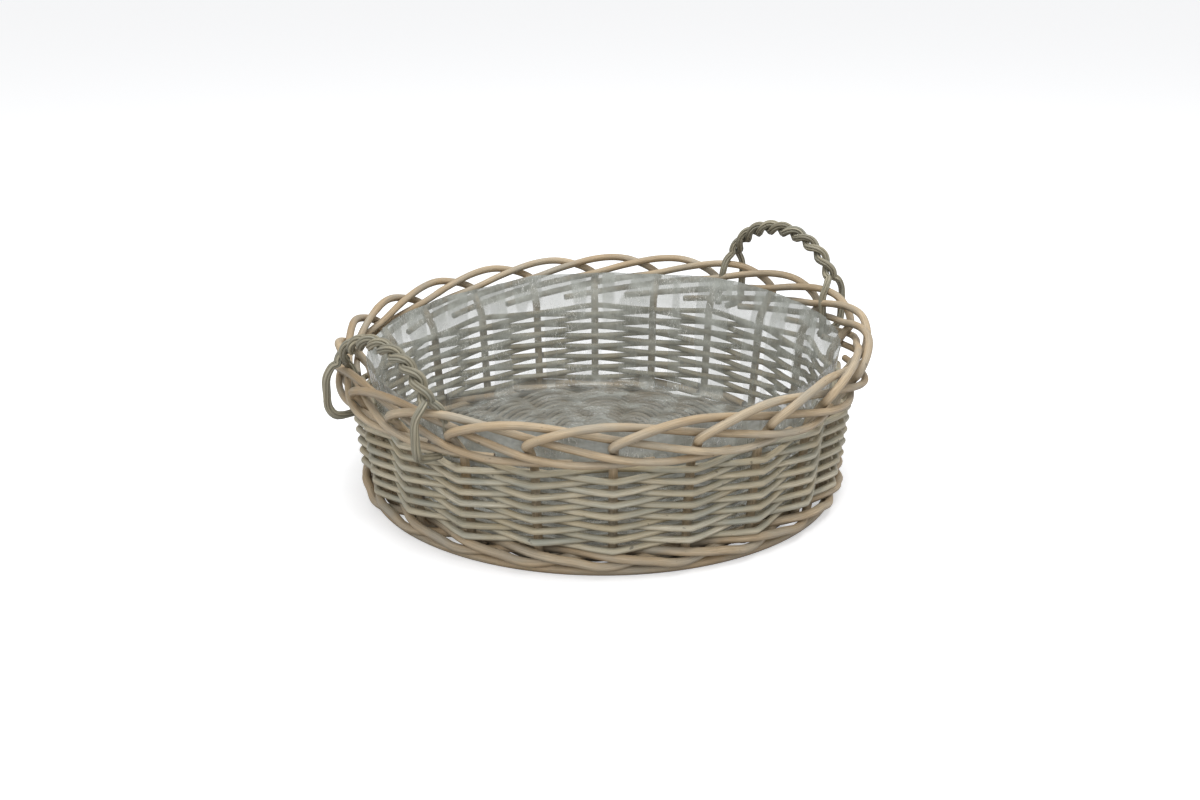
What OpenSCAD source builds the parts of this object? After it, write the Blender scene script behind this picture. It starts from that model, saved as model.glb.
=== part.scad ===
// Round garden trug of grey-washed willow, with two roped ear handles and a film liner.
// Origin at the middle of the foot, on the surface that the trug stands on. The handles are
// at the two ends of X.

/* [Foot and base] */
// Diameter over the foot ring
base_d = 402; // [380:1:420]
// Thickness of the foot ring
foot_d = 8; // [7:0.5:9]
// Depth worn flat under the foot ring
foot_flat = 0.5; // [0.3:0.1:0.8]
// Thickness of the sticks that carry the base
stick_d = 7; // [6:0.5:8]
// Sticks laid one way through the middle of the base
long_sticks = 6; // [6:1:6]
// Sticks pierced and laid across them
cross_sticks = 5; // [5:1:5]
// Thickness of the slats that the long sticks are shaved to where they cross
slat_t = 3; // [2.5:0.25:4]
// Thickness of the rods woven through the base
base_weaver_d = 4.6; // [4:0.1:5]
// Rounds of weaving in the base
base_rounds = 37; // [30:1:37]

/* [Stakes] */
// Upright rods round the wall, an even number
stakes = 22; // [20:2:24]
// Thickness of a stake where it stands in the wall
stake_d = 7; // [6:0.2:7.4]
// Thickness of a stake at the tail of the border
tail_d = 5.6; // [4.6:0.2:6]
// Length of stake pushed in beside a base stick
stake_in = 56; // [40:1:70]
// Outward lean of the wall in degrees
wall_lean = 5.5; // [3:0.5:8]
// Turn of the first stake from the line of the handles in degrees
stake_turn = 3.4; // [2:0.2:5]

/* [Weaving] */
// Thickness of the three wale rods round the foot
wale_d = 7; // [6:0.2:7.4]
// Rows of single weaving in the wall
rows = 14; // [12:1:14]
// Thickness of a weaver at its thick end
weaver_d = 4.7; // [4:0.1:4.8]
// Thickness of a weaver at its tip
weaver_tip_d = 4.3; // [3.6:0.1:4.6]
// Room left over and under each row of weaving
row_gap = 0.35; // [0.3:0.05:0.6]
// Room left between rods that press on each other
rod_gap = 0.25; // [0.2:0.05:0.4]
// Rise of the rim at one handle, and its drop at the other
rim_rise = 8; // [0:1:9]

/* [Border] */
// Height from the top row to the bend of the stakes
bend_rise = 26; // [24:1:30]
// Outward spread of the stakes between the top row and the bend
border_flare = 15; // [12:1:17]

/* [Handles] */
// Width of a handle between the middles of its feet
handle_span = 127; // [110:1:140]
// Height of the middle of the rope over the bend of the stakes
handle_rise = 56; // [48:1:64]
// Thickness of one strand of the rope
strand_d = 6.8; // [6:0.2:7]
// Turns of the rope between its feet
rope_turns = 4.5; // [3.5:1:5.5]

/* [Liner] */
// Thickness of the liner film
film_t = 0.6; // [0.4:0.1:0.8]
// Room between the liner and the weaving
film_gap = 0.4; // [0.3:0.1:1]
// Height of the liner edge over the bend of the stakes
film_rise = 7; // [2:1:10]

/* [Hidden] */
sides = 6;
pitch_deg = 360 / stakes;
stick_z = foot_d - foot_flat + 1.5;
base_top = stick_z + stick_d / 2 + rod_gap + base_weaver_d;
foot_r = base_d / 2 - foot_d / 2;
foot_z = foot_d / 2 - foot_flat;
foot_line = foot_r - foot_d / 2 + rod_gap;
arm_r = foot_line - 9;
base_pitch = (arm_r - 26) / base_rounds;
wale_low_z = foot_z + foot_d / 2 + wale_d / 4 + rod_gap;
wale_high_z = wale_low_z + wale_d + rod_gap;
wale_in_z = stick_z + (stake_d + wale_d) / 2 + rod_gap;
row_pitch = weaver_d + row_gap;
row_z = max(wale_high_z, wale_in_z) + (wale_d + weaver_d) / 2 + row_gap;
wall_top = row_z + (rows - 1) * row_pitch + weaver_d / 2;
bend_z = wall_top + bend_rise;
bend_r = line_r(bend_z) + border_flare;
rope_r = bend_r - 4;
joint_gap = 0.8;

// Border of one stake: stakes passed, then steps outward and up in stake thicknesses.
// It climbs over the next stake, drops behind the second and runs in front of two more.
border_lay = [
    [0, 0, 0], [0.25, 0.35, 1.15], [0.6, 0.25, 2], [1, -0.35, 2.05], [1.5, -0.85, 1.3],
    [2, -1.05, 0.3], [2.5, -0.5, -0.5], [3, 0.2, -1.35], [3.5, 0.1, -2.05], [4, -0.8, -2.4],
    [4.5, -1.75, -2.65]
];

function two(n) = str(n < 10 ? "0" : "", n);
function unit(v) = v / norm(v);

// Radius of the middle of the stakes at a height in the wall
function line_r(z) = foot_line + z * tan(wall_lean);

// Angle of a stake about the middle of the trug
function stake_a(k) = stake_turn + k * pitch_deg;

// A point of the wall, with the rim carried up at one handle and down at the other
function at(r, a, z) =
    let (lift = max(0, z - base_top) / (bend_z - base_top) * rim_rise * r * cos(a) / bend_r)
    [r * cos(a), r * sin(a), z + lift];

// Direction of a path at one of its points
function heading(p, i) =
    let (last = len(p) - 1)
    i == 0 ? unit(p[1] - p[0])
    : i == last ? unit(p[last] - p[last - 1])
    : unit(unit(p[i + 1] - p[i]) + unit(p[i] - p[i - 1]));

// A direction square to the path, carried from the start without a twist
function square_to(v, t) = unit(v - t * (v * t));
function across(p, start) = [
    for (i = 0, s = square_to(start, heading(p, 0)); i < len(p);
         i = i + 1, s = i < len(p) ? square_to(s, heading(p, i)) : s) s
];

// A smooth curve through a list of points, with steps rings between two of them
function curve_point(p, i, t) =
    let (a = p[max(i - 1, 0)], b = p[i], c = p[i + 1], d = p[min(i + 2, len(p) - 1)])
    0.5 * (2 * b + (c - a) * t + (2 * a - 5 * b + 4 * c - d) * t * t
           + (3 * b - a - 3 * c + d) * t * t * t);

// Rod of round section along a path, with a thickness at each point
module rod(p, d, start = [0, 0, 1]) {
    n = len(p);
    s = across(p, start);
    points = [
        for (i = [0:n - 1])
            let (t = heading(p, i), u = s[i], v = cross(t, u))
            for (k = [0:sides - 1])
                p[i] + d[i] / 2 * (u * cos(360 * k / sides) + v * sin(360 * k / sides))
    ];
    skin = [
        for (i = [0:n - 2], k = [0:sides - 1])
            let (a = i * sides + k, b = i * sides + (k + 1) % sides)
            each [[a, b + sides, b], [a, a + sides, b + sides]]
    ];
    ends = [
        [for (k = [0:sides - 1]) k],
        [for (k = [sides - 1:-1:0]) (n - 1) * sides + k]
    ];
    polyhedron(points, concat(skin, ends), convexity = 8);
}

// Base stick laid along X, in a row beside the middle one, that fans out past the bundle
module fanned_stick(row, elbow) {
    side = row * (stick_d + rod_gap);
    turn = row * pitch_deg;
    past = sqrt(pow(arm_r, 2) - pow(side * cos(turn) - elbow * sin(turn), 2))
           - elbow * cos(turn) - side * sin(turn);
    tip = [elbow + past * cos(turn), side + past * sin(turn), stick_z];
    path = [[-tip[0], tip[1], stick_z], [-elbow, side, stick_z], [elbow, side, stick_z], tip];
    rod(path, [for (p = path) stick_d]);
}

// The arms lie just before the stakes, so each stake slides in against one
arm_turn = stake_turn + pitch_deg / 2 - asin(((stick_d + stake_d) / 2 + rod_gap) / arm_r);

// Half the width of a bundle of sticks in the middle of the base
function bundle(n) = n * (stick_d + rod_gap) / 2;

// Sticks whose middles are shaved flat to pass through the pierced ones
module base_sticks() {
    color("tan")
        rotate(arm_turn)
            for (i = [0:long_sticks - 1])
                difference() {
                    fanned_stick(i - (long_sticks - 1) / 2, bundle(cross_sticks) + 10);
                    for (z = [stick_z + slat_t / 2, stick_z - slat_t / 2 - stick_d])
                        translate([-bundle(cross_sticks) - 1, -base_d / 2, z])
                            cube([2 * bundle(cross_sticks) + 2, base_d, stick_d]);
                }
}

// Sticks pierced in the middle, with the others pushed through the slits
module base_cross_sticks() {
    slit = slat_t + 2 * rod_gap;
    color("burlywood")
        rotate(arm_turn + 90)
            for (i = [0:cross_sticks - 1])
                difference() {
                    fanned_stick(i - (cross_sticks - 1) / 2, bundle(long_sticks) + 10);
                    translate([-bundle(long_sticks) - 0.5, -base_d / 2, stick_z - slit / 2])
                        cube([2 * bundle(long_sticks) + 1, base_d, slit]);
                }
}

// Base weaving on one side of the sticks, as its rounds lie side by side
module base_rounds_at(z) {
    rotate_extrude($fn = 96)
        for (i = [0:base_rounds - 1])
            translate([26 + i * base_pitch, z])
                circle(d = base_weaver_d, $fn = 24);
}

module base_weave_upper() {
    color("wheat")
        base_rounds_at(stick_z + (stick_d + base_weaver_d) / 2 + rod_gap);
}

module base_weave_lower() {
    color("wheat")
        base_rounds_at(stick_z - (stick_d + base_weaver_d) / 2 - rod_gap);
}

module foot_ring() {
    color("tan")
        rotate_extrude($fn = 120)
            difference() {
                translate([foot_r, foot_z])
                    circle(d = foot_d, $fn = 32);
                translate([foot_r - foot_d, -foot_d])
                    square([2 * foot_d, foot_d]);
            }
}

// One stake: in beside its base stick, up through the wall, then down as the border
module stake(k) {
    a = stake_a(k);
    arm = a - asin((stick_d + stake_d + 2 * rod_gap) / 2 / arm_r);
    beside = (stick_d + stake_d) / 2 + rod_gap;
    inner = [
        for (r = [arm_r - stake_in, arm_r - 3])
            [r * cos(arm) - beside * sin(arm), r * sin(arm) + beside * cos(arm), stick_z]
    ];
    turn_up = [
        at(foot_line - 4, a, stick_z + 1.3),
        at(line_r(base_top) - 1, a, stick_z + 6),
        at(line_r(row_z), a, row_z)
    ];
    upright = [
        for (s = [0, 0.4, 0.75])
            let (z = wall_top + s * bend_rise)
            at(line_r(z) + border_flare * pow(s, 1.3), a, z)
    ];
    lay_steps = [for (i = [0:len(border_lay) - 2]) i < 2 ? [0, 0.5] : i > 3 && i < 6 ? [0, 0.5] : [0]];
    laid = [
        for (i = [0:len(border_lay) - 2], t = lay_steps[i]) curve_point(border_lay, i, t),
        border_lay[len(border_lay) - 1]
    ];
    border = [
        for (q = laid)
            at(bend_r + q[1] * stake_d, a + q[0] * pitch_deg, bend_z + q[2] * stake_d)
    ];
    path = concat(inner, turn_up, upright, border);
    plain = len(path) - len(border);
    thick = [
        for (i = [0:len(path) - 1])
            i < plain ? stake_d
            : stake_d + (tail_d - stake_d) * laid[i - plain][0] / border_lay[len(border_lay) - 1][0]
    ];
    color(k % 2 == 0 ? "rosybrown" : "tan")
        rod(path, thick);
}

// Rod of the three-rod wale: in front of two stakes, then behind one
module wale_rod(j) {
    run = stakes - (stakes - 1) % 3 - 1;
    out = (stake_d + wale_d) / 2 + rod_gap;
    path = [
        for (i = [0:run])
            let (k = i + j, pass = i % 3, a = stake_a(k), first = i == 0, last = i == run)
            each pass == 0
            ? [at(line_r(wale_in_z) - out, a + (first ? joint_gap : last ? -joint_gap : 0),
                  first ? wale_in_z : last ? wale_in_z + rod_gap : wale_in_z)]
            : pass == 1
            ? [at(line_r(wale_high_z) + out, a, wale_high_z),
               at(line_r(wale_high_z) + out + 1, a + pitch_deg / 2, (wale_low_z + wale_high_z) / 2)]
            : [at(line_r(wale_low_z) + out, a, wale_low_z)]
    ];
    color("burlywood")
        rod(path, [for (p = path) wale_d]);
}

// Row of single weaving: one rod, in front of one stake and behind the next, whose ends meet
// behind the stake where it began
module rand_row(i) {
    z = row_z + i * row_pitch;
    start = 5 * i + 1;
    step_out = (stake_d + weaver_d) / 2 + rod_gap;
    rest = 2.2;
    path = [
        for (n = [0:stakes])
            let (a = stake_a(start + n))
            each n % 2 == 1
            ? [at(line_r(z) + step_out, a - rest, z), at(line_r(z) + step_out, a + rest, z)]
            : [at(line_r(z) - step_out, a + (n == 0 ? joint_gap : n == stakes ? -joint_gap : 0), z)]
    ];
    last = len(path) - 1;
    color(i % 3 == 0 ? "wheat" : i % 3 == 1 ? "tan" : "lightgray")
        rod(path, [for (n = [0:last]) weaver_d + (weaver_tip_d - weaver_d) * n / last]);
}

// Strand of a handle rope: two strands twist over the arch and part at the feet, one outside
// the border and one inside, and both tuck in over the top row of weaving
module rope_strand(end, strand) {
    half = handle_span / 2;
    feet_z = bend_z + 2 * stake_d - 1;
    rise = handle_rise + bend_z - feet_z;
    part = 16;
    even = (half - rise) / (half + rise) / 2 / 180 * 360 / PI;
    lay_start = part / 180 - even / 2 * sin(2 * part);
    steps = round(rope_turns * 6);
    twisted = [
        for (n = [0:steps])
            let (f = part + (180 - 2 * part) * n / steps,
                 share = (f / 180 - even / 2 * sin(2 * f) - lay_start) / (1 - 2 * lay_start),
                 t = 360 * rope_turns * share + 180 * strand,
                 n_y = -cos(f) * rise, n_z = sin(f) * half, n_l = norm([n_y, n_z]),
                 y = -half * cos(f) + strand_d / 2 * sin(t) * n_y / n_l,
                 z = feet_z + rise * sin(f) + strand_d / 2 * sin(t) * n_z / n_l,
                 x = rope_r + strand_d / 2 * cos(t))
            [x, y, z]
    ];
    outside = bend_r + 0.2 * stake_d + (stake_d + strand_d) / 2 + 2 * rod_gap;
    tuck_z = wall_top + strand_d / 2 + rod_gap;
    beside = strand_d / 2 + rod_gap;
    over = [
        [outside - 5.5, 0, feet_z + 9.5], [outside, 0, feet_z + 0.5],
        [outside + 0.5, 0, feet_z - 13], [outside - 0.5, 0, tuck_z + 9],
        [outside - 6, beside, tuck_z + 1.5], [line_r(tuck_z) + 3, beside, tuck_z]
    ];
    under = [
        [rope_r - 8.5, 0, feet_z + 6], [rope_r - 12.5, 0, feet_z - 3],
        [rope_r - 13.5, -beside / 2, feet_z - 15], [rope_r - 14, -beside, tuck_z + 8],
        [line_r(tuck_z) - 1, -beside, tuck_z + 1]
    ];
    first = strand == 0 ? over : under;
    last = strand == 0 ? under : over;
    flat = concat(
        [for (n = [len(first) - 1:-1:0]) [first[n][0], first[n][1] - half, first[n][2]]],
        twisted,
        [for (q = last) [q[0], half - q[1], q[2]]]
    );
    path = [for (q = flat) at(norm([q.x, q.y]), atan2(q.y, q.x) + (end > 0 ? 0 : 180), q.z)];
    color(strand == 0 ? "darkkhaki" : "khaki")
        rod(path, [for (q = path) strand_d], [0, 1, 0]);
}

// Film tub that lies on the base and stands against the wall, its edge inside the border
module liner() {
    floor_z = base_top + film_gap;
    floor_r = line_r(wale_in_z) - stake_d / 2 - wale_d - rod_gap - film_gap;
    wall_r = line_r(wall_top) - stake_d / 2 - weaver_d - rod_gap - film_gap;
    edge_r = wall_r + 6;
    edge_z = bend_z + film_rise;
    slope = atan(rim_rise / bend_r);
    color([0.8, 0.83, 0.84, 0.5])
        difference() {
            rotate_extrude($fn = 120)
                polygon([
                    [0, floor_z], [floor_r, floor_z], [wall_r, wall_top],
                    [edge_r, edge_z + rim_rise + 2], [edge_r - film_t, edge_z + rim_rise + 2],
                    [wall_r - film_t, wall_top], [floor_r - film_t, floor_z + film_t],
                    [0, floor_z + film_t]
                ]);
            translate([0, 0, edge_z])
                rotate([0, -slope, 0])
                    translate([-bend_r - 20, -bend_r - 20, 0])
                        cube([2 * bend_r + 40, 2 * bend_r + 40, 60]);
        }
}

foot_ring();
base_sticks();
base_cross_sticks();
base_weave_lower();
base_weave_upper();
for (k = [1:stakes])
    stake(k - 1);
for (j = [1:3])
    wale_rod(j - 1);
for (i = [1:rows])
    rand_row(i - 1);
for (s = [1, 2])
    rope_strand(1, s - 1);
for (s = [1, 2])
    rope_strand(-1, s - 1);
liner();
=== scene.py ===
import math

import bpy
import numpy as np
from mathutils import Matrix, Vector, noise


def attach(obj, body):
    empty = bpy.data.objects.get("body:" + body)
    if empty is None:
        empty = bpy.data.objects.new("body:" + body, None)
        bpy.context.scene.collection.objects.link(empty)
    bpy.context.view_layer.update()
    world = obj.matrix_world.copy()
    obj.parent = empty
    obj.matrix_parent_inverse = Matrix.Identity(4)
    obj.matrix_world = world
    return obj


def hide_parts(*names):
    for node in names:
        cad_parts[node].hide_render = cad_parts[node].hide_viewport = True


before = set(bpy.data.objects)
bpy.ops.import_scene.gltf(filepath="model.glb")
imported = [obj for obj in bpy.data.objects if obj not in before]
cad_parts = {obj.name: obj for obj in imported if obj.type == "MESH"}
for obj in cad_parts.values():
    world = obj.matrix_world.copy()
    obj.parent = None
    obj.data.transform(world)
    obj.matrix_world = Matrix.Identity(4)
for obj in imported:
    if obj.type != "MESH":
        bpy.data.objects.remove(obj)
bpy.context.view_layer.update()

# Base sticks
# Eleven split willow sticks carry the base. Five are pierced in the middle, the other six are
# shaved to slats and pushed through the slits, and past the bundle they fan out like spokes.
# A maker soaks them first, so they are grey-brown with a fine grain along them; their colour is also
# made darker than the wall's, as painted shade on the floor of the trug.

mm = 0.001
stakes, stake_d, stake_turn = 22, 7.0, 3.4
pitch = 360 / stakes
stick_d, stick_z, slat_t, arm_r = 7.0, 9.0, 3.0, 184.25
rod_gap = 0.25
beside_stick = (stick_d + stake_d) / 2 + rod_gap
arm_turn = stake_turn + pitch / 2 - math.degrees(math.asin(beside_stick / arm_r))
long_rows = [-2.5, -1.5, -0.5, 0.5, 1.5, 2.5]
cross_rows = [-2, -1, 0, 1, 2]
past_bundle = 10
elbow_long = len(cross_rows) * (stick_d + rod_gap) / 2 + past_bundle
elbow_cross = len(long_rows) * (stick_d + rod_gap) / 2 + past_bundle


def smooth_line(points, steps):
    """Points of a smooth curve through the given ones, which stay on it."""
    p = np.array(points, float)
    out = []
    for i in range(len(p) - 1):
        a, b, c, d = p[max(i - 1, 0)], p[i], p[i + 1], p[min(i + 2, len(p) - 1)]
        for t in np.arange(steps) / steps:
            out.append(0.5 * (2 * b + (c - a) * t + (2 * a - 5 * b + 4 * c - d) * t * t
                              + (3 * b - a - 3 * c + d) * t ** 3))
    out.append(p[-1])
    return np.array(out)


def line_run(line):
    """Length of a line from its start to each of its points."""
    return np.concatenate([[0], np.cumsum(np.linalg.norm(np.diff(line, axis=0), axis=1))])


def line_frames(line, start):
    """Direction and two cross directions at each point, carried along without a twist."""
    step = np.diff(line, axis=0)
    step /= np.linalg.norm(step, axis=1)[:, None]
    along = np.vstack([step[:1], step[1:] + step[:-1], step[-1:]])
    along /= np.linalg.norm(along, axis=1)[:, None]
    side = np.zeros_like(along)
    s = np.array(start, float)
    for i, t in enumerate(along):
        s = s - t * (s @ t)
        s /= np.linalg.norm(s)
        side[i] = s
    return along, side, np.cross(along, side)


def rod_parts(line, thick, number, sides=12, start=(0, 0, 1), flat=None, knots=True):
    """Skin of one rod in millimetres: corners, faces, and the grain that runs along it."""
    line = np.array(line, float)
    thick = np.broadcast_to(np.array(thick, float), (len(line),)).copy()
    along, side, cross = line_frames(line, start)
    run = line_run(line)
    if knots:
        swell_length, knot_length, knot_level = 23, 11, 0.42
        for i, s in enumerate(run):
            swell = noise.noise(Vector((s / swell_length, number * 5.3, 1.7)))
            knot = max(0, noise.noise(Vector((s / knot_length, number * 3.1, 8.2))) - knot_level)
            thick[i] *= 1 + 0.035 * swell + 0.25 * knot
    angle = np.arange(sides) * 2 * math.pi / sides
    tall = np.ones(len(line)) if flat is None else np.array(flat, float)
    ring = (line[:, None, :]
            + (thick / 2)[:, None, None]
            * (side[:, None, :] * (np.cos(angle)[None, :, None] * tall[:, None, None])
               + cross[:, None, :] * np.sin(angle)[None, :, None]))
    rod_apart = 1.37
    grain = np.stack([
        np.repeat(run[:, None] * mm + number * rod_apart, sides, 1),
        np.repeat(np.cos(angle)[None, :], len(line), 0) * thick[:, None] / 2 * mm,
        np.repeat(np.sin(angle)[None, :], len(line), 0) * thick[:, None] / 2 * mm,
    ], 2)
    faces = []
    for i in range(len(line) - 1):
        for k in range(sides):
            n = (k + 1) % sides
            a = i * sides
            faces.append((a + k, a + n, a + sides + n, a + sides + k))
    first = list(range(sides - 1, -1, -1))
    last = [(len(line) - 1) * sides + k for k in range(sides)]
    return ring.reshape(-1, 3), grain.reshape(-1, 3), faces, [first, last]


def rod_piece(name, parts, willow, cut):
    """One piece made of one or more rods, with smooth sides and flat cut ends."""
    corners, grains, faces, ends, count = [], [], [], [], 0
    for ring, grain, skin, caps in parts:
        corners.append(ring)
        grains.append(grain)
        faces += [tuple(v + count for v in f) for f in skin]
        ends += [tuple(v + count for v in f) for f in caps]
        count += len(ring)
    mesh = bpy.data.meshes.new(name)
    mesh.from_pydata((np.vstack(corners) * mm).tolist(), [], faces + ends)
    grain = mesh.attributes.new("grain", "FLOAT_VECTOR", "POINT")
    grain.data.foreach_set("vector", np.vstack(grains).ravel())
    mesh.materials.append(willow)
    mesh.materials.append(cut)
    mesh.polygons.foreach_set("material_index", [0] * len(faces) + [1] * len(ends))
    mesh.polygons.foreach_set("use_smooth", [True] * len(faces) + [False] * len(ends))
    mesh.update()
    piece = bpy.data.objects.new(name, mesh)
    bpy.context.scene.collection.objects.link(piece)
    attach(piece, "root")
    return piece


def named_node(tree, kind, label, **values):
    """A shader node with its label and the values of its sockets."""
    node = tree.nodes.new(kind)
    node.label = label
    for key, value in values.items():
        if key in node.inputs:
            node.inputs[key].default_value = value
        else:
            setattr(node, key, value)
    return node


# Sockets of a colour mix node, which has several that share a name
mix_share, mix_first, mix_second, mix_result = 0, 6, 7, 2


def willow_bark_group():
    """Colour, roughness and height of a peeled willow rod, from the grain that runs along it, with
    painted shade on its underside.
    """
    tree = bpy.data.node_groups.new("willow_bark", "ShaderNodeTree")
    face = tree.interface
    for socket, kind in (("Pale", "Color"), ("Brown", "Color"), ("Grey", "Color"),
                         ("Greyness", "Float"), ("Specks", "Float")):
        face.new_socket(socket, in_out="INPUT", socket_type="NodeSocket" + kind)
    for socket, kind in (("Color", "Color"), ("Roughness", "Float"), ("Height", "Float")):
        face.new_socket(socket, in_out="OUTPUT", socket_type="NodeSocket" + kind)
    given = tree.nodes.new("NodeGroupInput")
    result = tree.nodes.new("NodeGroupOutput")
    link = tree.links.new
    grain = named_node(tree, "ShaderNodeAttribute", "grain", attribute_name="grain")

    def stretched(label, scale, size, detail):
        place = named_node(tree, "ShaderNodeMapping", label + " stretch")
        place.inputs["Scale"].default_value = scale
        link(grain.outputs["Vector"], place.inputs["Vector"])
        cloud = named_node(tree, "ShaderNodeTexNoise", label, Scale=size, Detail=detail)
        link(place.outputs["Vector"], cloud.inputs["Vector"])
        return cloud.outputs["Fac"]

    def ramp(value, low, high, label):
        cut = named_node(tree, "ShaderNodeMapRange", label)
        cut.inputs["From Min"].default_value = low
        cut.inputs["From Max"].default_value = high
        link(value, cut.inputs["Value"])
        return cut.outputs["Result"]

    def blend(kind, share, first, second, label):
        mix = named_node(tree, "ShaderNodeMix", label, data_type="RGBA", blend_type=kind)
        for socket, value in ((mix_share, share), (mix_first, first), (mix_second, second)):
            if isinstance(value, (int, float, tuple)):
                mix.inputs[socket].default_value = value
            else:
                link(value, mix.inputs[socket])
        return mix.outputs[mix_result]

    rod_tone = ramp(stretched("tone from rod to rod", (1, 0, 0), 3.1, 1), 0.34, 0.66, "tone")
    stain = ramp(stretched("grey stains", (1, 3, 3), 21, 4), 0.42, 0.68, "stain")
    fibre = stretched("fibres", (30, 2600, 2600), 1, 5)
    patch = stretched("weathered patches", (1, 20, 20), 95, 6)
    speck = ramp(stretched("specks", (1, 1, 1), 1500, 2), 0.69, 0.76, "speck")
    ring_mark = ramp(stretched("bud scars", (1, 1.3, 1.3), 190, 1), 0.74, 0.80, "scar")
    facing = named_node(tree, "ShaderNodeNewGeometry", "which way the surface faces")
    upright = named_node(tree, "ShaderNodeSeparateXYZ", "up or down")
    link(facing.outputs["Normal"], upright.inputs[0])
    # Painted shade: surfaces that face down are darkened, so each rod is painted darker on its
    # underside.
    under = ramp(upright.outputs["Z"], 0.15, -0.95, "painted shade under the rod")

    color = blend("MIX", rod_tone, given.outputs["Pale"], given.outputs["Brown"], "rod tone")
    color = blend("MIX", ramp(patch, 0.35, 0.75, "patches"), color, given.outputs["Brown"],
                  "patches")
    grey_share = named_node(tree, "ShaderNodeMath", "grey share", operation="MULTIPLY")
    link(stain, grey_share.inputs[0])
    link(given.outputs["Greyness"], grey_share.inputs[1])
    color = blend("MIX", grey_share.outputs[0], color, given.outputs["Grey"], "grey")
    streak = named_node(tree, "ShaderNodeMapRange", "fibre shade")
    streak.inputs["From Min"].default_value = 0.3
    streak.inputs["From Max"].default_value = 0.7
    streak.inputs["To Min"].default_value = 0.72
    streak.inputs["To Max"].default_value = 1.12
    link(fibre, streak.inputs["Value"])
    color = blend("MULTIPLY", 1.0, color, streak.outputs["Result"], "fibres over colour")
    # Painted shade: where the rod faces down, its colour is multiplied towards a dark grey-brown.
    color = blend("MULTIPLY", under, color, (0.50, 0.47, 0.43, 1), "painted shade on the underside")
    mark = named_node(tree, "ShaderNodeMath", "marks", operation="MAXIMUM")
    link(speck, mark.inputs[0])
    link(ring_mark, mark.inputs[1])
    marked = named_node(tree, "ShaderNodeMath", "marks share", operation="MULTIPLY")
    link(mark.outputs[0], marked.inputs[0])
    link(given.outputs["Specks"], marked.inputs[1])
    color = blend("MIX", marked.outputs[0], color, (0.07, 0.055, 0.045, 1), "dark marks")
    link(color, result.inputs["Color"])

    rough = named_node(tree, "ShaderNodeMapRange", "roughness")
    rough.inputs["To Min"].default_value = 0.42
    rough.inputs["To Max"].default_value = 0.72
    link(patch, rough.inputs["Value"])
    link(rough.outputs["Result"], result.inputs["Roughness"])
    height = named_node(tree, "ShaderNodeMath", "height", operation="SUBTRACT")
    link(fibre, height.inputs[0])
    link(marked.outputs[0], height.inputs[1])
    link(height.outputs[0], result.inputs["Height"])
    return tree


willow_bark = willow_bark_group()


def willow_material(name, pale, brown, grey, greyness, specks, bump):
    """A willow finish: the shared bark with its own colours."""
    mat = bpy.data.materials.new(name)
    mat.use_nodes = True
    tree = mat.node_tree
    skin = tree.nodes["Principled BSDF"]
    bark = named_node(tree, "ShaderNodeGroup", "bark")
    bark.node_tree = willow_bark
    for socket, value in (("Pale", pale), ("Brown", brown), ("Grey", grey)):
        bark.inputs[socket].default_value = (*value, 1)
    bark.inputs["Greyness"].default_value = greyness
    bark.inputs["Specks"].default_value = specks
    relief = named_node(tree, "ShaderNodeBump", "fibre relief", Strength=bump, Distance=0.0004)
    tree.links.new(bark.outputs["Color"], skin.inputs["Base Color"])
    tree.links.new(bark.outputs["Roughness"], skin.inputs["Roughness"])
    tree.links.new(bark.outputs["Height"], relief.inputs["Height"])
    tree.links.new(relief.outputs["Normal"], skin.inputs["Normal"])
    skin.inputs["Specular IOR Level"].default_value = 0.45
    return mat


# Darker than the wall's willow: partly the sticks' own grey-brown, partly painted shade on the floor
# of the trug.
base_willow = willow_material("base_willow", (0.36, 0.31, 0.22), (0.22, 0.17, 0.11),
                              (0.25, 0.25, 0.22), 0.7, 0.5, 0.5)
cut_end = willow_material("cut_willow_end", (0.40, 0.33, 0.25), (0.20, 0.16, 0.12),
                          (0.25, 0.24, 0.23), 0.5, 0.9, 0.8)


def stick_line(row, elbow):
    """Tip, two elbows and other tip of the middle line of a base stick."""
    side, turn = row * (stick_d + rod_gap), math.radians(row * pitch)
    past = (math.sqrt(arm_r ** 2 - (side * math.cos(turn) - elbow * math.sin(turn)) ** 2)
            - elbow * math.cos(turn) - side * math.sin(turn))
    tip = (elbow + past * math.cos(turn), side + past * math.sin(turn))
    return [(-tip[0], tip[1]), (-elbow, side), (elbow, side), tip]


def turned(points, degrees):
    """Flat points turned about the middle of the trug, at the height of the sticks."""
    c, s = math.cos(math.radians(degrees)), math.sin(math.radians(degrees))
    return [(x * c - y * s, x * s + y * c, stick_z) for x, y in points]


def stick_parts(rows, elbow, turn, number, shaved):
    """Sticks of one direction, with rounded elbows, shaved flat in the middle or left round."""
    parts = []
    for i, row in enumerate(rows):
        tip_a, elbow_a, elbow_b, tip_b = [np.array(q) for q in stick_line(row, elbow)]
        line = [tip_a + (elbow_a - tip_a) * t for t in (0, 0.3, 0.6, 0.85)]
        line += [elbow_a + (elbow_b - elbow_a) * t
                 for t in (0.04, 0.2, 0.35, 0.5, 0.65, 0.8, 0.96)]
        line += [elbow_b + (tip_b - elbow_b) * t for t in (0.15, 0.4, 0.7, 1)]
        line = smooth_line(turned(line, turn), 6)
        reach = np.hypot(line[:, 0], line[:, 1])
        flat = np.interp(reach, [19, 25], [slat_t / stick_d, 1]) if shaved else None
        parts.append(rod_parts(line, stick_d, number + i, flat=flat))
    return parts


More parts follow.
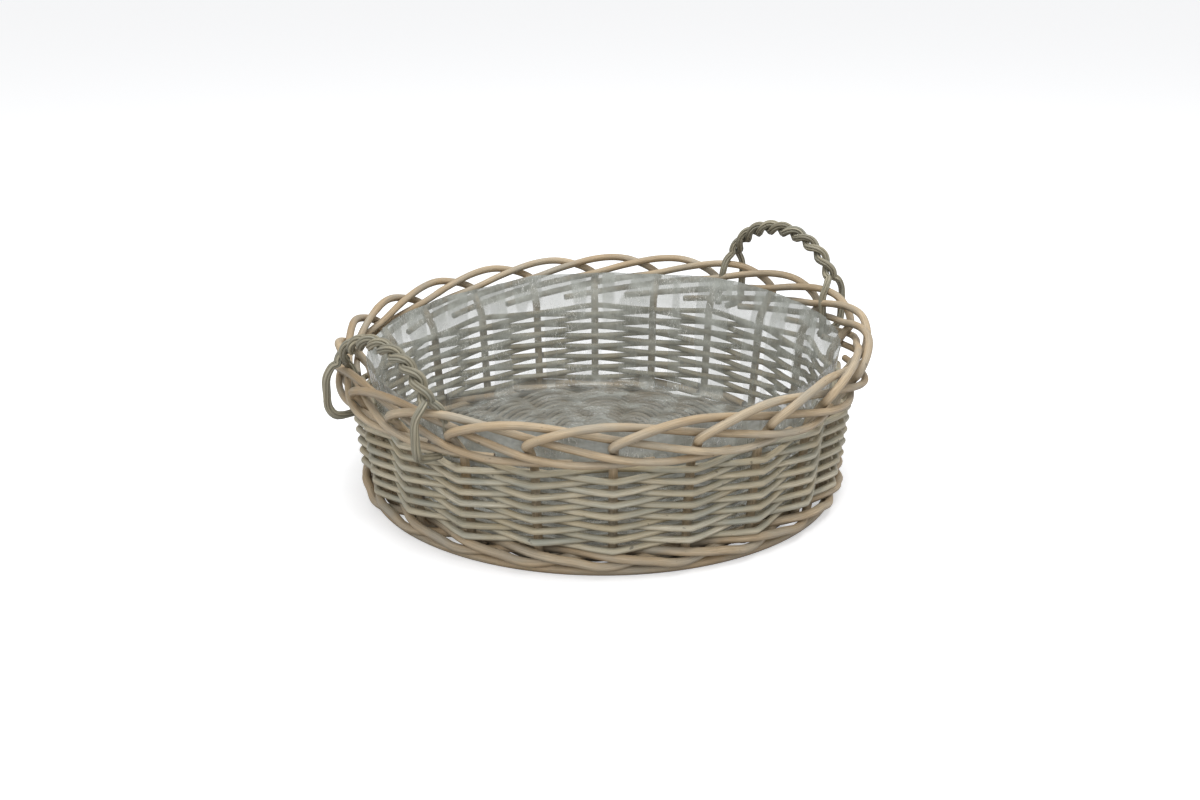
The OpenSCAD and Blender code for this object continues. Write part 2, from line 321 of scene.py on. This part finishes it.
base_sticks = rod_piece(
    "split_base_sticks", stick_parts(long_rows, elbow_long, arm_turn, 200, True),
    base_willow, cut_end)
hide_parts("base_sticks")
cross_sticks = rod_piece(
    "pierced_base_sticks", stick_parts(cross_rows, elbow_cross, arm_turn + 90, 220, False),
    base_willow, cut_end)
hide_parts("base_cross_sticks")

# Base weaving
# Thin willow rods woven round and round between the sticks, over one and under the next.
# The first rounds tie the bundles down, and the rest fill the base out to the wall.

base_weaver_d, base_rounds = 4.6, 37
first_round_r, last_tie_r, tie_spread = 26, 37, 6
tie_points = 48
weave_lift = (stick_d + base_weaver_d) / 2 + 0.1


def arm_angles(reach):
    """Angles at which the arms of the sticks pass a distance from the middle."""
    angles = []
    for rows, elbow, turn in ((long_rows, elbow_long, 0), (cross_rows, elbow_cross, 90)):
        for row in rows:
            lean = math.radians(row * pitch)
            side = row * (stick_d + rod_gap)
            off = side * math.cos(lean) - elbow * math.sin(lean)
            at_reach = row * pitch + math.degrees(math.asin(off / max(reach, abs(off) + 1)))
            angles += [at_reach + turn, at_reach + turn + 180 if row == 0 else turn + 180 - at_reach]
    return sorted((a + arm_turn) % 360 for a in angles)


weave_parts = []
for i in range(base_rounds):
    reach = first_round_r + i * (arm_r - first_round_r) / base_rounds
    line = []
    if reach < last_tie_r:
        out = reach + tie_spread
        for step in range(tie_points):
            from_bundle = math.radians(step * 360 / tie_points)
            a = math.radians(arm_turn + step * 360 / tie_points)
            line.append((out * math.cos(a), out * math.sin(a),
                         stick_z + weave_lift * math.cos(2 * from_bundle) * (-1) ** i))
    else:
        angles = arm_angles(reach)
        for k, a in enumerate(angles):
            after = angles[(k + 1) % stakes] + (360 if k == stakes - 1 else 0)
            up = 1 if (k + i) % 2 == 0 else -1
            for share, high in ((0, up), (0.25, 0.75 * up), (0.5, 0), (0.75, -0.75 * up)):
                b = math.radians(a + (after - a) * share)
                line.append((reach * math.cos(b), reach * math.sin(b), stick_z + weave_lift * high))
    line.append(line[0])
    weave_parts.append(rod_parts(smooth_line(line, 2), base_weaver_d, 300 + i, sides=8))
base_weaving = rod_piece("base_weaving", weave_parts, base_willow, cut_end)
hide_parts("base_weave_lower", "base_weave_upper")

# Stakes and border
# Twenty-two willow rods pushed in beside the base sticks and bent up round the foot. At the rim
# each one bends over the next, drops behind the second and runs in front of two more, and its
# tail is trimmed off: together they are the rolled border.

tail_d, stake_in = 5.6, 56.0
base_top, foot_line, wall_lean = 17.35, 193.25, 5.5
row_z, row_pitch, rows = 22.95, 5.05, 14
mid_wall_z, wall_top, bend_rise, border_flare, rim_rise = 56, 90.95, 26, 15, 8
bend_z = wall_top + bend_rise


def line_r(z):
    """Radius of the middle of the stakes at a height in the wall."""
    return foot_line + z * math.tan(math.radians(wall_lean))


bend_r = line_r(bend_z) + border_flare


def rim_lift(x, z):
    """Rise of the wall towards the right handle and its drop towards the left one."""
    return max(0, z - base_top) / (bend_z - base_top) * rim_rise * x / bend_r


def at(r, a, z):
    """A point of the wall, with the rim carried up at one handle and down at the other."""
    c, s = math.cos(math.radians(a)), math.sin(math.radians(a))
    return (r * c, r * s, z + rim_lift(r * c, z))


def stake_a(k):
    """Angle of a stake about the middle of the trug."""
    return stake_turn + k * pitch


# Border of one stake: stakes passed, then steps outward and up in stake thicknesses
border_lay = [
    (0, 0, 0), (0.25, 0.35, 1.15), (0.6, 0.25, 2), (1, -0.35, 2.05), (1.5, -0.85, 1.3),
    (2, -1.05, 0.3), (2.5, -0.5, -0.5), (3, 0.2, -1.35), (3.5, 0.1, -2.05), (4, -0.8, -2.4),
    (4.5, -1.75, -2.65),
]
stake_steps = 7
stake_willow = willow_material("stake_willow", (0.72, 0.60, 0.42), (0.44, 0.32, 0.19),
                               (0.40, 0.38, 0.32), 0.7, 0.6, 0.55)

for k in range(stakes):
    a = stake_a(k)
    arm = math.radians(a - math.degrees(math.asin(beside_stick / arm_r)))
    line = [(r * math.cos(arm) - beside_stick * math.sin(arm),
             r * math.sin(arm) + beside_stick * math.cos(arm),
             stick_z) for r in (arm_r - stake_in, arm_r - 25, arm_r - 3)]
    line += [at(foot_line - 4, a, stick_z + 1.3), at(line_r(base_top) - 1, a, stick_z + 6),
             at(line_r(row_z), a, row_z), at(line_r(mid_wall_z), a, mid_wall_z)]
    for s in (0, 0.4, 0.75):
        z = wall_top + s * bend_rise
        line.append(at(line_r(z) + border_flare * s ** 1.3, a, z))
    plain = len(line) - 1
    line += [at(bend_r + out * stake_d, a + passed * pitch, bend_z + up * stake_d)
             for passed, out, up in border_lay]
    smooth = smooth_line(line, stake_steps)
    share = np.clip((np.arange(len(smooth)) / stake_steps - plain) / (len(border_lay) - 1), 0, 1)
    thick = stake_d + (tail_d - stake_d) * share
    piece = rod_piece(f"stake_rod_{k + 1:02d}", [rod_parts(smooth, thick, k + 1, sides=14)],
                      stake_willow, cut_end)
    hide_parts(f"stake_{k + 1:02d}")

# Foot ring and wale
# A thick rod runs round under the foot and three more are twisted round the stakes over it, in
# front of two and behind one, so the wall stands on a firm edge. Their ends are tucked behind
# the stakes.

foot_r, foot_z, foot_d = 197.0, 3.75, 7.4
foot_steps = 144
foot_points = []
for step in range(foot_steps):
    a = math.radians(step * 360 / foot_steps)
    foot_points.append((foot_r * math.cos(a), foot_r * math.sin(a), foot_z))
foot_points.append(foot_points[0])
foot_rod = rod_piece("foot_rod", [rod_parts(foot_points, foot_d, 60, sides=16, knots=False)],
                     stake_willow, cut_end)
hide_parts("foot_ring")

wale_d, wale_low_z, wale_high_z, wale_in_z = 7.0, 9.5, 16.75, 16.25
wale_run = stakes - (stakes - 1) % 3 - 1
wale_out = (stake_d + wale_d) / 2 + rod_gap
end_shift = 0.8

for j in range(3):
    line = []
    for i in range(wale_run + 1):
        a = stake_a(i + j)
        if i % 3 == 0:
            shift = end_shift if i == 0 else -end_shift if i == wale_run else 0
            line.append(at(line_r(wale_in_z) - wale_out, a + shift,
                           wale_in_z + (rod_gap if i == wale_run else 0)))
        elif i % 3 == 1:
            line.append(at(line_r(wale_high_z) + wale_out, a, wale_high_z))
            line.append(at(line_r(wale_high_z) + wale_out + 1, a + pitch / 2,
                           (wale_low_z + wale_high_z) / 2))
        else:
            line.append(at(line_r(wale_low_z) + wale_out, a, wale_low_z))
    piece = rod_piece(f"wale_{j + 1}", [rod_parts(smooth_line(line, 8), wale_d, 70 + j, sides=14)],
                      stake_willow, cut_end)
    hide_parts(f"wale_rod_{j + 1}")

# Wall weaving
# Fourteen rows of single randing: one thin peeled rod to a row, in front of one stake and behind
# the next. The rods vary from cream to grey and taper a little from butt to tip.

weaver_d, weaver_tip_d = 4.7, 4.3
butt_swell, tip_swell, bend_swell = 0.3, 0.4, 0.09
row_out = (stake_d + weaver_d) / 2 + rod_gap
rest_turn = 2.2
weaver_willow = willow_material("weaver_willow", (0.80, 0.75, 0.61), (0.50, 0.42, 0.27),
                                (0.37, 0.39, 0.34), 0.75, 0.6, 0.5)

for i in range(rows):
    z = row_z + i * row_pitch
    first_stake = 5 * i + 1
    line = []
    for n in range(stakes + 1):
        a = stake_a(first_stake + n)
        if n % 2 == 1:
            line += [at(line_r(z) + row_out, a - rest_turn, z),
                     at(line_r(z) + row_out, a + rest_turn, z)]
        else:
            shift = end_shift if n == 0 else -end_shift if n == stakes else 0
            line.append(at(line_r(z) - row_out, a + shift, z))
    smooth = smooth_line(line, 7)
    thick = np.linspace(weaver_d + butt_swell, weaver_tip_d + tip_swell, len(smooth))
    off_line = np.abs(np.hypot(smooth[:, 0], smooth[:, 1]) - line_r(z))
    thick *= 1 + bend_swell * np.clip(off_line / row_out, 0, 1)
    piece = rod_piece(f"weaver_{i + 1:02d}", [rod_parts(smooth, thick, 100 + i)],
                      weaver_willow, cut_end)
    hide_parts(f"rand_row_{i + 1:02d}")

# Roped handles
# Two ear handles. Each is two bundles of thin willow shoots twisted into a rope, and at the feet
# the bundles part and are woven into the border, one outside it and one inside.

strand_d, rope_turns, handle_span, handle_rise = 6.8, 4.5, 127.0, 56.0
rope_r = bend_r - 4
part_angle, rope_steps = 16, 54
core_share, shoot_share, shoot_twist = 0.62, 0.36, 34
rope_willow = willow_material("rope_willow", (0.52, 0.47, 0.34), (0.26, 0.23, 0.16),
                              (0.27, 0.28, 0.24), 0.8, 0.5, 0.8)


def strand_line(strand):
    """Points of one strand from foot to foot, for a handle at the end of X."""
    half = handle_span / 2
    feet_z = bend_z + 2 * stake_d - 1
    rise = handle_rise + bend_z - feet_z
    even = (half - rise) / (half + rise) / math.pi
    lay_start = part_angle / 180 - even / 2 * math.sin(math.radians(2 * part_angle))
    twisted = []
    for n in range(rope_steps + 1):
        f = math.radians(part_angle + (180 - 2 * part_angle) * n / rope_steps)
        share = (f / math.pi - even / 2 * math.sin(2 * f) - lay_start) / (1 - 2 * lay_start)
        t = 2 * math.pi * rope_turns * share + math.pi * strand
        n_y, n_z = -math.cos(f) * rise, math.sin(f) * half
        n_l = math.hypot(n_y, n_z)
        twisted.append((rope_r + strand_d / 2 * math.cos(t),
                        -half * math.cos(f) + strand_d / 2 * math.sin(t) * n_y / n_l,
                        feet_z + rise * math.sin(f) + strand_d / 2 * math.sin(t) * n_z / n_l))
    outside = bend_r + 0.2 * stake_d + (stake_d + strand_d) / 2 + 2 * rod_gap
    tuck_z = wall_top + strand_d / 2 + rod_gap
    beside = strand_d / 2 + rod_gap
    over = [(outside - 5.5, 0, feet_z + 9.5), (outside, 0, feet_z + 0.5),
            (outside + 0.5, 0, feet_z - 13), (outside - 0.5, 0, tuck_z + 9),
            (outside - 6, beside, tuck_z + 1.5), (line_r(tuck_z) + 3, beside, tuck_z)]
    under = [(rope_r - 8.5, 0, feet_z + 6), (rope_r - 12.5, 0, feet_z - 3),
             (rope_r - 13.5, -beside / 2, feet_z - 15), (rope_r - 14, -beside, tuck_z + 8),
             (line_r(tuck_z) - 1, -beside, tuck_z + 1)]
    first, last = (over, under) if strand == 0 else (under, over)
    flat = [(x, y - half, z) for x, y, z in reversed(first)] + twisted
    flat += [(x, half - y, z) for x, y, z in last]
    return flat


def shoots(line, number, count=6):
    """A bundle of thin shoots laid round a core along a line."""
    along, side, cross = line_frames(line, (0, 1, 0))
    run = line_run(line)
    thin = strand_d * shoot_share
    parts = [rod_parts(line, strand_d * core_share, number, sides=8, start=(0, 1, 0))]
    for c in range(count):
        turn = 2 * math.pi * c / count + run / shoot_twist
        off = (strand_d - thin) / 2 * (1 + 0.05 * math.sin(c * 2.4))
        path = line + off * (side * np.cos(turn)[:, None] + cross * np.sin(turn)[:, None])
        parts.append(rod_parts(path, thin * (0.95 + 0.12 * math.sin(c * 1.9)), number + c + 1,
                               sides=8, start=(0, 1, 0)))
    return parts


for side_name, end_turn, end_number in (("right", 0, 400), ("left", 180, 440)):
    for strand in (0, 1):
        bent = [at(math.hypot(x, y), math.degrees(math.atan2(y, x)) + end_turn, z)
                for x, y, z in strand_line(strand)]
        piece = rod_piece(f"{side_name}_rope_{strand + 1}",
                          shoots(smooth_line(bent, 4), end_number + 20 * strand),
                          rope_willow, cut_end)
        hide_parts(f"handle_{side_name}_strand_{strand + 1}")

# Film liner
# A sheet of clear film pressed into the trug to keep wet soil off the willow. It lies on the
# base, gathers in folds up the wall, and its wavy edge shows inside the border.

film_t, film_gap, film_rise, film_spread = 0.6, 0.4, 7, 6
film_floor_z, film_floor_r = base_top + film_gap + film_t / 2, 183.2
film_wall_r = line_r(wall_top) - stake_d / 2 - weaver_d - rod_gap - film_gap - film_t / 2
film_edge_z = bend_z + film_rise


def film_point(a, s):
    """Film at an angle, from the middle of the floor (0) over its edge (1) to the top (2)."""
    c, d = math.cos(math.radians(a)), math.sin(math.radians(a))
    if s <= 1:
        r, z = film_floor_r * s, film_floor_z
        wrinkle = 0.35 * noise.noise(Vector((r * c / 30, r * d / 30, 4))) * min(1, (1 - s) * 9)
        return (r * c, r * d, z + max(0, wrinkle))
    t = s - 1
    z = film_floor_z + t * (film_edge_z - film_floor_z)
    if z < wall_top:
        up = (z - film_floor_z) / (wall_top - film_floor_z)
        r = film_floor_r + (film_wall_r - film_floor_r) * up
    else:
        r = film_wall_r + film_spread * (z - wall_top) / (film_edge_z - wall_top)
    fold = noise.noise(Vector((c * 9, d * 9, t * 0.7)))
    crease = abs(noise.noise(Vector((c * 23, d * 23, 3 + t * 0.5))))
    r -= (1.1 + 1.7 * fold + 2.2 * (0.35 - crease)) * (0.25 + 0.75 * t)
    edge = (0.6 * math.sin(math.radians(a * 7)) + noise.noise(Vector((c * 5, d * 5, 9)))) * t
    return (r * c, r * d, z + rim_lift(r * c, z) + 1.6 * edge - 0.8 * t)


around, wall_levels = 720, 14
levels = [0.02, 0.2, 0.4, 0.6, 0.8, 0.92, 0.98, 1.0]
levels += [1 + (j + 1) / wall_levels for j in range(wall_levels)]
corners, sheet_spots, faces = [], [], []
for s in levels:
    reach = min(s, 1)
    for step in range(around):
        a = math.radians(step * 360 / around)
        corners.append(film_point(step * 360 / around, s))
        sheet_spots += [reach * math.cos(a), reach * math.sin(a), s]
for j in range(len(levels) - 1):
    for k in range(around):
        n = (k + 1) % around
        faces.append((j * around + k, j * around + n, (j + 1) * around + n, (j + 1) * around + k))
corners.append((0, 0, film_floor_z))
sheet_spots += [0, 0, 0]
faces += [(len(corners) - 1, k, (k + 1) % around) for k in range(around)]
film_mesh = bpy.data.meshes.new("film_sheet")
film_mesh.from_pydata([(x * mm, y * mm, z * mm) for x, y, z in corners], [], faces)
film_mesh.polygons.foreach_set("use_smooth", [True] * len(faces))
sheet_grain = film_mesh.attributes.new("sheet", "FLOAT_VECTOR", "POINT")
sheet_grain.data.foreach_set("vector", sheet_spots)
film_mesh.update()

film = bpy.data.materials.new("clear_film")
film.use_nodes = True
film_tree = film.node_tree
film_skin = film_tree.nodes["Principled BSDF"]
film_skin.inputs["IOR"].default_value = 1.5
film_skin.inputs["Coat Weight"].default_value = 0.5
film_skin.inputs["Coat Roughness"].default_value = 0.08


def film_value(label, kind, *given, **settings):
    """A value node of the film, fed by the values and sockets given."""
    made = named_node(film_tree, kind, label, **settings)
    for socket, value in zip(made.inputs, given):
        if isinstance(value, (int, float)):
            socket.default_value = value
        else:
            film_tree.links.new(value, socket)
    return made.outputs[0]


def film_math(label, operation, *given):
    """A sum, product or other plain value of the film."""
    return film_value(label, "ShaderNodeMath", *given, operation=operation)


def film_range(label, value, low, high, to_low, to_high):
    """A value of the film carried from one range to another and held inside it."""
    return film_value(label, "ShaderNodeMapRange", value, low, high, to_low, to_high)


sheet_place = named_node(film_tree, "ShaderNodeAttribute", "place on the sheet",
                         attribute_name="sheet")
parts_of_place = named_node(film_tree, "ShaderNodeSeparateXYZ", "angle and height")
film_tree.links.new(sheet_place.outputs["Vector"], parts_of_place.inputs[0])
height = parts_of_place.outputs["Z"]


def film_noise(label, scale, size, detail):
    """A cloud stretched over the sheet, which has no seam round the wall."""
    spread = named_node(film_tree, "ShaderNodeMapping", label + " stretch")
    spread.inputs["Scale"].default_value = scale
    film_tree.links.new(sheet_place.outputs["Vector"], spread.inputs["Vector"])
    cloud = named_node(film_tree, "ShaderNodeTexNoise", label, Scale=size, Detail=detail)
    film_tree.links.new(spread.outputs["Vector"], cloud.inputs["Vector"])
    return cloud.outputs["Fac"]


def crease_glint_lines(label, cloud, width):
    """Painted glints: white lines of a given width where a cloud passes its middle value."""
    off_middle = film_math(label + " offset", "SUBTRACT", cloud, 0.5)
    distance = film_math(label + " distance", "ABSOLUTE", off_middle)
    return film_range(label + " white", distance, width, 0.0, 0, 1)


haze = film_noise("haze", (1, 1, 1.2), 7, 4)
folded = film_range("sheet doubled in a pleat", film_noise("pleats", (1, 1, 0.08), 11, 0),
                    0.50, 0.53, 0, 0.16)
up_lines = crease_glint_lines("creases up the wall", film_noise("upright folds", (1, 1, 0.16), 60, 2),
                        0.012)
cross_lines = crease_glint_lines("creases across", film_noise("cross folds", (1, 1, 1.3), 9, 3), 0.004)
lines = film_math("all creases", "MAXIMUM", up_lines, cross_lines)
some = film_range("where the creases show", film_noise("crease patches", (1, 1, 1), 5, 2),
                  0.45, 0.62, 0, 1)
# Painted highlights: along the crease lines the film is painted white and made more opaque, as
# glints.
glints = film_math("glints", "MULTIPLY", lines, some)
veil = film_range("veil", haze, 0.35, 0.65, -0.08, 0.10)
# The film is made more opaque towards the top of the wall; its thickness stays the same.
top_veil = film_range("more opaque towards the top", height, 1.35, 1.95, 0.34, 0.74)
hides = film_math("hides", "ADD", film_math("veil and pleats", "ADD", veil, folded), top_veil)
hides = film_math("hides with glints", "ADD", hides,
                  film_math("glint share", "MULTIPLY", glints, 0.4))
film_tree.links.new(hides, film_skin.inputs["Alpha"])
tint = named_node(film_tree, "ShaderNodeValToRGB", "grey haze to clear")
tint.color_ramp.elements[0].color = (0.30, 0.31, 0.28, 1)
tint.color_ramp.elements[1].color = (0.52, 0.54, 0.50, 1)
film_tree.links.new(film_range("haze shade", haze, 0.35, 0.65, 0, 1), tint.inputs["Fac"])
whiten = named_node(film_tree, "ShaderNodeMix", "glints over haze", data_type="RGBA")
film_tree.links.new(glints, whiten.inputs[mix_share])
film_tree.links.new(tint.outputs["Color"], whiten.inputs[mix_first])
whiten.inputs[mix_second].default_value = (0.95, 0.95, 0.92, 1)
film_tree.links.new(whiten.outputs[mix_result], film_skin.inputs["Base Color"])
film_tree.links.new(film_range("scuffs", haze, 0, 1, 0.12, 0.34), film_skin.inputs["Roughness"])
film_relief = named_node(film_tree, "ShaderNodeBump", "crinkle relief", Strength=0.6,
                         Distance=0.004)
film_tree.links.new(film_noise("crinkles", (1, 1, 0.35), 16, 3), film_relief.inputs["Height"])
film_tree.links.new(film_relief.outputs["Normal"], film_skin.inputs["Normal"])
film_mesh.materials.append(film)
film_sheet = bpy.data.objects.new("film_sheet", film_mesh)
bpy.context.scene.collection.objects.link(film_sheet)
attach(film_sheet, "root")
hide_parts("liner")

# Floor and light
# A white table under soft, even studio light. The floor takes the trug's shadow.

floor_half = 6
floor_mesh = bpy.data.meshes.new("table_top")
floor_mesh.from_pydata([(-floor_half, -floor_half, 0), (floor_half, -floor_half, 0),
                        (floor_half, floor_half, 0), (-floor_half, floor_half, 0)],
                       [], [(0, 1, 2, 3)])
floor = bpy.data.objects.new("table_top", floor_mesh)
bpy.context.scene.collection.objects.link(floor)
white = bpy.data.materials.new("white_table")
white.use_nodes = True
white_tree = white.node_tree
white_skin = white_tree.nodes["Principled BSDF"]
white_skin.inputs["Base Color"].default_value = (0.80, 0.81, 0.83, 1)
white_skin.inputs["Roughness"].default_value = 0.7
white_skin.inputs["Emission Color"].default_value = (1, 1, 1, 1)
seen = named_node(white_tree, "ShaderNodeLightPath", "seen by the camera")
glow = named_node(white_tree, "ShaderNodeMath", "white in the picture", operation="MULTIPLY")
glow.inputs[1].default_value = 0.5
white_tree.links.new(seen.outputs["Is Camera Ray"], glow.inputs[0])
white_tree.links.new(glow.outputs[0], white_skin.inputs["Emission Strength"])
floor_mesh.materials.append(white)

world = bpy.data.worlds.new("studio")
bpy.context.scene.world = world
world.use_nodes = True
sky = world.node_tree.nodes["Background"]
paths = named_node(world.node_tree, "ShaderNodeLightPath", "seen by the camera")
level = named_node(world.node_tree, "ShaderNodeMapRange", "white behind, softer light")
level.inputs["To Min"].default_value = 0.50
level.inputs["To Max"].default_value = 1.0
world.node_tree.links.new(paths.outputs["Is Camera Ray"], level.inputs["Value"])
world.node_tree.links.new(level.outputs["Result"], sky.inputs["Strength"])
sky.inputs["Color"].default_value = (1, 1, 1, 1)

lit_spot = Vector((0, 0, 0.05))
for lamp_name, where, size, power in (("lamp_over", (0.0, -0.3, 1.9), 1.2, 26),
                                      ("lamp_side", (-1.7, -1.2, 1.5), 0.9, 12)):
    lamp_data = bpy.data.lights.new(lamp_name, "AREA")
    lamp_data.size = size
    lamp_data.energy = power
    lamp = bpy.data.objects.new(lamp_name, lamp_data)
    lamp.location = where
    lamp.rotation_euler = (lit_spot - Vector(where)).to_track_quat("-Z", "Y").to_euler()
    bpy.context.scene.collection.objects.link(lamp)

# Camera
# Looks down on the trug by about 20 degrees from 1.24 metres away, with the lower handle in
# front on the left.

turn, tip, far = math.radians(39.7), math.radians(19.9), 1.2444
target = Vector((0, 0, 0.0678))
eye = target + far * Vector((-math.cos(tip) * math.sin(turn), -math.cos(tip) * math.cos(turn),
                             math.sin(tip)))
camera_data = bpy.data.cameras.new("camera")
camera_data.sensor_width = 36
camera_data.lens = 43.5
camera_data.shift_x = -2.6 / 1200
camera = bpy.data.objects.new("camera", camera_data)
camera.location = eye
camera.rotation_euler = (target - eye).to_track_quat("-Z", "Y").to_euler()
bpy.context.scene.collection.objects.link(camera)
bpy.context.scene.camera = camera
bpy.context.scene.view_settings.view_transform = "Standard"
